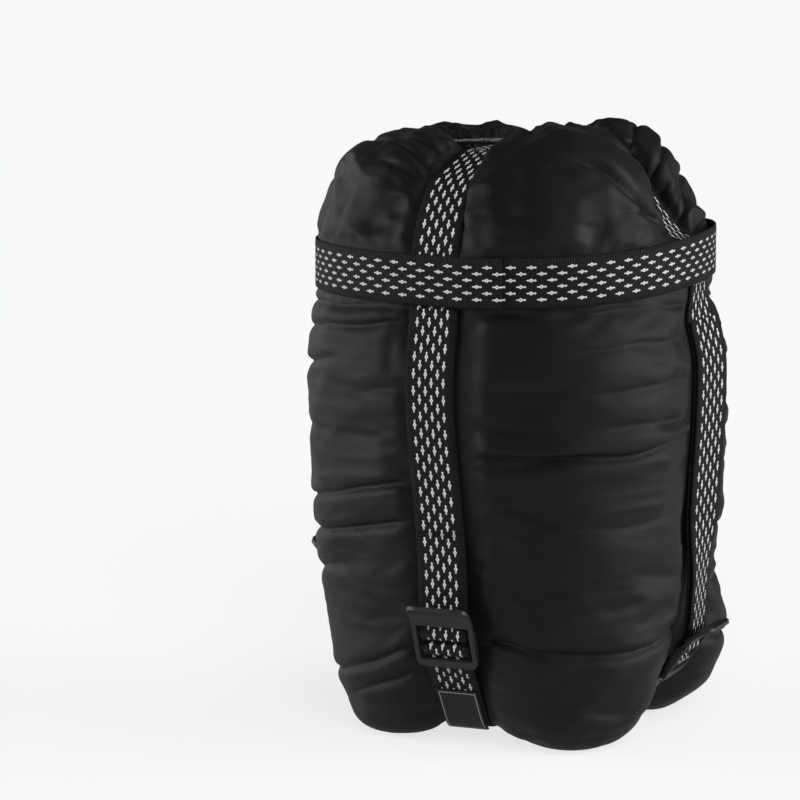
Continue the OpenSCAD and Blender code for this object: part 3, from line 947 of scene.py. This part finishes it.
def in_strap_plane(n, r, z, sideways=0.0):
    turn = strap_turn(n)
    return Vector((
        r * math.cos(turn) - sideways * math.sin(turn),
        r * math.sin(turn) + sideways * math.cos(turn),
        z,
    ))


def strap_places(n, path, step=0.003):
    """Even places along a path of radius and height in the plane of one strap, with its twist."""
    turn = strap_turn(n)
    across = Vector((-math.sin(turn), math.cos(turn), 0))
    spots = [Vector(p) for p in path]
    run = running_length(spots)
    count = max(2, round(run[-1] / step))
    smooth = [spots[at].lerp(spots[at + 1], part) for at, part in evenly_along(run, count)]
    for _ in range(3):
        smooth = [smooth[0]] + [
            (a + 2 * b + c) / 4 for a, b, c in zip(smooth, smooth[1:], smooth[2:])
        ] + [smooth[-1]]
    framed = []
    for i, spot in enumerate(smooth):
        ahead = smooth[min(i + 1, count)] - smooth[max(i - 1, 0)]
        ahead.normalize()
        out = Vector((math.cos(turn) * ahead.y, math.sin(turn) * ahead.y, -ahead.x))
        twist = strap_twist(n, spot.y)
        framed.append((in_strap_plane(n, spot.x, spot.y, strap_drift(n, spot.y)),
                       across * math.cos(twist) + out * math.sin(twist),
                       out * math.cos(twist) - across * math.sin(twist)))
    return framed


def moved_out(path, off):
    """A path of radius and height, moved out from the sack."""
    moved = []
    for i, spot in enumerate(path):
        ahead = path[min(i + 1, len(path) - 1)] - path[max(i - 1, 0)]
        ahead.normalize()
        moved.append(spot + Vector((ahead.y, -ahead.x)) * off)
    return moved


strap_off = skin_gap + webbing_t / 2


def channel_path(start, end, count=60, n=1):
    """The middle of a strap that lies in its channel, between two places on the outline."""
    spots = [Vector(channel_point(n, mix(start, end, i / count))) for i in range(count + 1)]
    return moved_out(spots, strap_off)


crossing_z, crossing_half = crossing_h + strap_off, 0.017
layer = webbing_t + skin_gap
upper_places = {n: strap_places(n, channel_path(2.5, 4.0, n=n)) for n in range(1, 5)}
# The marks run on from one side of the sack over the mouth to the other
upper_starts = {3: 0.0, 4: 0.0}
for n, name, rise in ((1, "cross_strap_a", 0.0), (2, "cross_strap_b", layer)):
    path = [(-crossing_r, crossing_z), (-crossing_half, crossing_z + rise),
            (crossing_half, crossing_z + rise), (crossing_r, crossing_z)]
    places = strap_places(n, path)
    far_run = run_along(upper_places[n + 2])
    crossing = webbing_strip(f"{name}_cloth", places, webbing, start_run=far_run)
    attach(crossing, "top")
    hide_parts(name)
    upper_starts[n] = mark_pitch / 2 - far_run - run_along(places) - run_along(upper_places[n])

for n in range(1, 5):
    upper = webbing_strip(
        f"strap_upper_cloth_{n}", upper_places[n], webbing, start_run=upper_starts[n])
    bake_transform(upper)
    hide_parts(f"strap_upper_{n}")


# Band: a hoop of the same webbing, sewn round the sack over the straps. Its ends lap a
# little to the right of the front strap, the left end on top.
lap_turn = math.radians(17.0 - 90.0)
lap_length = 0.015
lap_from, lap_run, lap_rise = 0.965, 0.03, 0.0015
band_tilt, band_lift, band_wave = 0.030, 0.0034, 0.0006
band_count = 288
band_places = []
lap_share = lap_length / (2 * math.pi * band_r)
for i in range(band_count + 1):
    share = i / band_count * (1 + lap_share)
    turn = lap_turn - lap_length / band_r + share * 2 * math.pi
    lapped = ease((share - lap_from) / lap_run)
    far = band_r + webbing_t / 2 + lap_rise * lapped + band_bulge * math.sin(2 * turn) ** 2
    outward = Vector((math.cos(turn), math.sin(turn), 0))
    sideways = outward.dot(view_right)
    height = band_mid + band_tilt * far * sideways + band_lift * sideways ** 2
    height += band_wave * math.sin(3 * turn + 1)
    band_places.append((outward * far + Vector((0, 0, height)), Vector((0, 0, 1)), outward))
band = webbing_strip("band_cloth", band_places, band_webbing)
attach(band, "band")
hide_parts("band")


# Buckles: moulded black ladder locks with a wide curved lift tab, two inner bars in the
# window and a bare foot bar. Each one hangs in the loop of its base strap.
hinges = {
    j["child"]: Vector(j["pos_m"]) for j in frame["joints"] if j["name"].endswith("_lift")
}
buckle_leans = (23.0, 35.35, 15.17, 13.83)
buckle_w, rail_w = 0.031, 0.0024
bar_r, bar_x = 0.0015, 0.0006
lower_bar_y, upper_bar_y = 0.0105, 0.0185
wrap_r = bar_r + skin_gap + webbing_t / 2
back_x = bar_x - wrap_r
tail_x = back_x + layer
foot_low, foot_high = 0.0015, 0.0055
tab_y, tab_r, tab_angle, tab_t = 0.0245, 0.0175, math.radians(50.0), 0.0022
tab_corner, foot_corner, tab_clear = 0.0055, 0.0036, 0.0007
rail_top, rail_under, foot_under = webbing_t / 2 + 0.0029, -0.0010, webbing_t / 2 + 0.0003
rim_round = 0.0007


def from_buckle(n, x, y):
    """Radius and height of a point given in a buckle's own frame: x out, y up its webbing."""
    hinge = hinges[f"buckle_{n}"]
    a = math.radians(buckle_leans[n - 1])
    return (hinge.xy.length + x * math.cos(a) + y * math.sin(a),
            hinge.z + y * math.cos(a) - x * math.sin(a))


def arc(x, y, r, start, end, count):
    turns = [mix(start, end, i / count) for i in range(count + 1)]
    return [(x + r * math.cos(turn), y + r * math.sin(turn)) for turn in turns]


plastic = Finish("moulded_plastic", {"Base Color": (0.020, 0.020, 0.021, 1.0)})
grain = plastic.texture("ShaderNodeTexNoise", {"Scale": 1400.0})
plastic.satin(grain, 0.34, 0.5)
plastic.emboss(grain, 0.12, 0.0002)


def buckle_piece(n):
    """A flat frame with a window, thickened, bent outwards at the tab, with two round bars."""
    frame_mesh = bmesh.new()
    half = buckle_w / 2
    inner = half - rail_w
    columns = [-half, -half + rail_w / 3, -half + rail_w * 2 / 3]
    columns += [mix(-inner, inner, i / 12) for i in range(13)]
    columns += [half - rail_w * 2 / 3, half - rail_w / 3, half]
    tab_length = tab_r * tab_angle
    rows = [foot_low, foot_high, (foot_high + tab_y) / 2, tab_y]
    rows += [tab_y + tab_length * i / 8 for i in range(1, 9)]
    bmesh.ops.create_grid(
        frame_mesh, x_segments=len(columns) - 1, y_segments=len(rows) - 1, size=0.5)
    for vert in frame_mesh.verts:
        side = columns[round((vert.co.x + 0.5) * (len(columns) - 1))]
        y = rows[round((vert.co.y + 0.5) * (len(rows) - 1))]
        corner = tab_corner if y > tab_y else foot_corner
        past = max(0.0, abs(side) - (half - corner))
        cut = corner - math.sqrt(corner ** 2 - past ** 2)
        if y > tab_y:
            y = tab_y + (y - tab_y) * (1 - cut / tab_length)
        elif y < foot_high - 1e-6:
            y += cut
        vert.co = Vector((side, y, 0))
    window = []
    for face in frame_mesh.faces:
        middle = face.calc_center_median()
        if abs(middle.x) < inner and foot_high < middle.y < tab_y:
            window.append(face)
    bmesh.ops.delete(frame_mesh, geom=window, context="FACES")
    walls = bmesh.ops.extrude_face_region(frame_mesh, geom=frame_mesh.faces[:])
    raised = [g for g in walls["geom"] if isinstance(g, bmesh.types.BMVert)]
    bmesh.ops.translate(frame_mesh, verts=raised, vec=(0, 0, 1))
    bmesh.ops.recalc_face_normals(frame_mesh, faces=frame_mesh.faces)
    rim = [e for e in frame_mesh.edges if e.calc_face_angle(0) > 0.8]
    turn = strap_turn(n)
    across = Vector((-math.sin(turn), math.cos(turn), 0))
    tab_mid = tail_x + webbing_t / 2 + tab_clear + tab_t / 2
    for vert in frame_mesh.verts:
        side, y, top = vert.co.x, vert.co.y, vert.co.z > 0.5
        lift = tab_t / 2 if top else -tab_t / 2
        if y > tab_y + 1e-6:
            a = (y - tab_y) / tab_r
            r = tab_r - lift
            x, up = tab_mid + tab_r - r * math.cos(a), tab_y + r * math.sin(a)
        elif y >= tab_y - 1e-4:
            x, up = tab_mid + lift, y
        elif top:
            x, up = rail_top, y
        else:
            x, up = (rail_under if y > foot_high else foot_under), y
        far, height = from_buckle(n, x, up)
        vert.co = in_strap_plane(n, far, height, side)
    bmesh.ops.recalc_face_normals(frame_mesh, faces=frame_mesh.faces)
    frame_mesh.normal_update()
    bmesh.ops.bevel(frame_mesh, geom=rim, offset=rim_round, offset_type="OFFSET",
                    affect="EDGES", segments=3, profile=0.5, material=-1, clamp_overlap=True)
    for y in (lower_bar_y, upper_bar_y):
        far, height = from_buckle(n, bar_x, y)
        middle = in_strap_plane(n, far, height)
        turned = across.to_track_quat("Z", "Y").to_matrix().to_4x4()
        bmesh.ops.create_cone(
            frame_mesh, cap_ends=True, segments=20, radius1=bar_r, radius2=bar_r,
            depth=buckle_w - rail_w, matrix=Matrix.Translation(middle) @ turned)
    piece = add_piece(f"ladder_lock_{n}", frame_mesh)
    smooth_faces(piece.data)
    piece.data.materials.append(plastic.material)
    piece.data.set_sharp_from_angle(angle=math.radians(40))
    return piece


for n in range(1, 5):
    buckle = buckle_piece(n)
    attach(buckle, f"buckle_{n}")
    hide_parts(f"buckle_{n}")


# Base straps: two lengths of the same webbing cross under the base, climb to the buckles and
# are sewn in loops round their lower bars.
base_crossing_half, base_level_r, hinge_clear = 0.0165, 0.040, 0.006


def base_path(n, drop):
    """From the middle of the base to just short of the hinge below a buckle."""
    under = channel_h - strap_off
    hinge = Vector((hinges[f"buckle_{n}"].xy.length, hinges[f"buckle_{n}"].z))
    below = [p for p in channel_path(0.0, 0.5, 80) if p.y < hinge.y - 0.001]
    slopes = [(p.x - hinge.x) / (hinge.y - p.y) for p in below]
    touch = slopes.index(max(slopes))
    away = (hinge - below[touch]).normalized()
    start = [(0.0, under - drop), (base_crossing_half, under - drop), (base_level_r, under)]
    return [Vector(p) for p in start] + below[:touch + 1] + [hinge - away * hinge_clear]


for n, name, drop in ((1, "base_strap_a", 0.0), (2, "base_strap_b", layer)):
    far_half = [Vector((-p.x, p.y)) for p in reversed(base_path(n + 2, drop)[1:])]
    path = far_half + base_path(n, drop)
    strip = webbing_strip(f"{name}_cloth", strap_places(n, path), webbing)
    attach(strip, "base")
    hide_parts(name)

for n in range(1, 5):
    end = base_path(n, 0.0)[-1]
    loop = [(0.0, 0.0), (0.0, foot_high + 0.0007)]
    loop += arc(bar_x, lower_bar_y, wrap_r, math.radians(-30), math.radians(180), 12)
    loop += [(back_x, foot_low + 0.0025)]
    path = [end] + [Vector(from_buckle(n, *p)) for p in loop]
    anchor = webbing_strip(f"anchor_cloth_{n}", strap_places(n, path, 0.0008), webbing)
    low = in_strap_plane(n, *end)
    high = in_strap_plane(n, *from_buckle(n, 0.0, 0.003))
    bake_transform(anchor)
    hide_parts(f"anchor_loop_{n}")


# Strap legs: each compression strap comes down to its buckle, turns round the upper bar and
# leaves under the lift tab as a free tail that lies on the standing strap.
leg_y, exit_y = upper_bar_y + 0.0075, upper_bar_y + 0.0095
join_z = 0.108
tail_ends = (0.2150, 0.2040, 0.2070, 0.2070)
strap_line = channel_path(0.0, 2.5, 160)


def standing_path(n):
    """A tight strap from its buckle to where it first touches the sack, then up the channel."""
    start = Vector(from_buckle(n, back_x, leg_y))
    ahead = [p for p in strap_line if p.y > start.y + 0.004]
    slopes = [(p.x - start.x) / (p.y - start.y) for p in ahead]
    touch = slopes.index(max(slopes))
    return [start] + ahead[touch:]


def cut_path(path, low, high):
    """The stretch of a climbing path between two heights."""
    def at(z):
        for a, b in zip(path, path[1:]):
            if a.y <= z <= b.y:
                return a.lerp(b, (z - a.y) / max(b.y - a.y, 1e-9))
        return path[-1] if z > path[-1].y else path[0]
    return [at(low)] + [p for p in path if low + 1e-4 < p.y < high - 1e-4] + [at(high)]


wrap_end = math.radians(40)
slant = (wrap_r * math.cos(wrap_end) + bar_x - tail_x) / math.sin(wrap_end)
leave_y = upper_bar_y + wrap_r * math.sin(wrap_end) + slant * math.cos(wrap_end)
for n in range(1, 5):
    standing = standing_path(n)
    start_z = standing[0].y
    turn_round = [(back_x, leg_y)]
    turn_round += arc(bar_x, upper_bar_y, wrap_r, math.pi, 2 * math.pi + wrap_end, 16)
    turn_round += [(tail_x, leave_y), (tail_x, exit_y)]
    path = [Vector(from_buckle(n, *p)) for p in turn_round]
    bend = webbing_strip(f"strap_turn_cloth_{n}", strap_places(n, path, 0.0008), webbing)
    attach(bend, f"buckle_{n}")
    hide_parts(f"strap_bend_{n}")

    foot_places = strap_places(n, cut_path(standing, start_z, join_z))
    low_part = webbing_strip(f"strap_foot_cloth_{n}", foot_places, webbing)
    low_end = in_strap_plane(n, *cut_path(standing, start_z, join_z)[0])
    high_end = in_strap_plane(n, *cut_path(standing, start_z, join_z - 0.004)[-1])
    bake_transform(low_part)
    leg_places = strap_places(n, cut_path(standing, join_z, band_mid))
    top_part = webbing_strip(
        f"strap_leg_cloth_{n}", leg_places, webbing, start_run=run_along(foot_places))
    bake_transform(top_part)
    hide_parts(f"strap_lower_{n}")

    over = moved_out(standing, layer)
    root = Vector(from_buckle(n, tail_x, exit_y))
    tail_line = [root] + [p for p in over if p.y > root.y + 0.002]
    root_places = strap_places(n, cut_path(tail_line, root.y, join_z))
    tail_low = webbing_strip(f"tail_root_cloth_{n}", root_places, webbing)
    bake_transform(tail_low)
    tail_places = strap_places(n, cut_path(tail_line, join_z, tail_ends[n - 1]))
    tail_high = webbing_strip(
        f"tail_cloth_{n}", tail_places, webbing, start_run=run_along(root_places))
    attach(tail_high, "base")
    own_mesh(tail_high)
    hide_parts(f"tail_{n}")


# Label: a small black woven label with a fine light border. It is sewn flat on the front
# base strap, between the base and the buckle.
label_w, label_t, label_low, label_top = 0.021, 0.0006, 0.0085, 0.030
border_inset, border_half, label_thread = 0.0014, 0.00025, 0.0005
label_face = moved_out(base_path(1, 0.0), webbing_t / 2 + label_t / 2 + 0.0001)
label_path = cut_path([p for p in label_face if p.x > base_r], label_low, label_top)
label_places = strap_places(1, label_path, 0.001)
label_length = run_along(label_places)

label_weave = Finish("woven_label", {"Roughness": 0.55})
sums = label_weave.sums
split = label_weave.add("ShaderNodeSeparateXYZ")
label_weave.join(label_weave.cloth(), split.inputs[0])
along = sums("ABSOLUTE", sums("SUBTRACT", split.outputs["X"], label_length / 2))
past_end = sums("SUBTRACT", along, label_length / 2 - border_inset)
past_side = sums("SUBTRACT", sums("ABSOLUTE", split.outputs["Y"]), label_w / 2 - border_inset)
from_border = sums("ABSOLUTE", sums("MAXIMUM", past_end, past_side))
label_weave.tint(sums("LESS_THAN", from_border, border_half), (0.006,) * 3, (0.42,) * 3)
threads = sums("SINE", sums("MULTIPLY", split.outputs["Y"], 2 * math.pi / label_thread))
label_weave.emboss(threads, 0.3, 0.0001)
label = webbing_strip("label_cloth", label_places, label_weave.material, label_w / webbing_w)
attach(label, "base")
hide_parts("woven_label")


# Drawcord and cord lock: a thin braided cord runs round in the hem, its two ends pass through
# a sprung barrel lock and are tied in a knot. They lie in the mouth under the crossing straps.
cord_r = 0.0014
cord_side = cord_r + skin_gap
lock_turn = math.radians(135.0)
knot_x, knot_r = -0.0018, 0.003
lock_way = Vector((math.cos(lock_turn), math.sin(lock_turn), 0))
lock_side = Vector((-lock_way.y, lock_way.x, 0))
cord_runs = (0.003, 0.008, 0.013, 0.018)
cord_points = [lock_way * knot_x + lock_side * cord_side * 0.4]
cord_points += [lock_way * x + lock_side * cord_side for x in cord_runs]
ring_start = math.asin(cord_side / hem_r)
for i in range(65):
    turn = lock_turn + mix(ring_start, 2 * math.pi - ring_start, i / 64)
    cord_points.append(Vector((hem_r * math.cos(turn), hem_r * math.sin(turn), 0)))
cord_points += [lock_way * x - lock_side * cord_side for x in reversed(cord_runs)]
cord_points.append(lock_way * knot_x - lock_side * cord_side * 0.4)


def round_wire(points, radius):
    """A bmesh of round wire or cord along points."""
    line = bpy.data.curves.new("wire_route", "CURVE")
    line.dimensions = "3D"
    line.bevel_depth = radius
    line.bevel_resolution = 3
    line.use_fill_caps = True
    route = line.splines.new("POLY")
    route.points.add(len(points) - 1)
    for spot, point in zip(route.points, points):
        spot.co = (*point, 1.0)
    drawn = bpy.data.objects.new("wire_route", line)
    scene.collection.objects.link(drawn)
    data = bpy.data.meshes.new_from_object(
        drawn.evaluated_get(bpy.context.evaluated_depsgraph_get()))
    wire = bmesh.new()
    wire.from_mesh(data)
    bpy.data.objects.remove(drawn)
    bpy.data.curves.remove(line)
    bpy.data.meshes.remove(data)
    return wire


cord_mesh = round_wire([point + Vector((0, 0, mouth_h)) for point in cord_points], cord_r)
for tilt, far in ((0.6, 0.0009), (-0.7, -0.0009)):
    knot_place = Matrix.Translation(lock_way * (knot_x + far) + Vector((0, 0, mouth_h)))
    knot_turn = Matrix.Rotation(tilt, 4, "Z") @ Matrix.Diagonal((1.0, 0.72, 0.8, 1.0))
    bmesh.ops.create_uvsphere(
        cord_mesh, u_segments=20, v_segments=12, radius=knot_r, matrix=knot_place @ knot_turn)
cord = add_piece("drawcord_braid", cord_mesh)
smooth_faces(cord.data)
braid = Finish("braided_cord", {"Base Color": (0.007, 0.007, 0.0075, 1.0), "Roughness": 0.65})
strands = braid.texture("ShaderNodeTexWave", {"Scale": 700.0}, bands_direction="DIAGONAL")
braid.emboss(strands, 0.7, 0.0003)
cord.data.materials.append(braid.material)
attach(cord, "top")
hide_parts("drawcord")

steel = Finish("spring_steel", {"Base Color": (0.55, 0.55, 0.56, 1.0), "Metallic": 1.0})
steel.satin(steel.texture("ShaderNodeTexNoise", {"Scale": 900.0}), 0.25, 0.45)
spring_lo, spring_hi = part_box("cord_lock_spring")
spring_mid = (spring_lo + spring_hi) / 2
spring_wire = 0.0003
spring_r = (spring_hi.x - spring_lo.x) / 2 - spring_wire
spring_turns, button_travel = 3.5, 0.0025
coil = []
for i in range(141):
    turn = 2 * math.pi * spring_turns * i / 140
    rise = mix(spring_lo.z + spring_wire, spring_hi.z - spring_wire, i / 140)
    coil.append(Vector((spring_mid.x + spring_r * math.cos(turn),
                        spring_mid.y + spring_r * math.sin(turn), rise)))
spring = add_piece("lock_spring", round_wire(coil, spring_wire))
smooth_faces(spring.data)
spring.data.materials.append(steel.material)
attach(spring, "top")
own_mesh(spring)
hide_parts("cord_lock_spring")
for node in ("cord_lock_body", "cord_lock_button"):
    frame["nodes"][node].data.materials.clear()
    frame["nodes"][node].data.materials.append(plastic.material)

low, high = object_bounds()
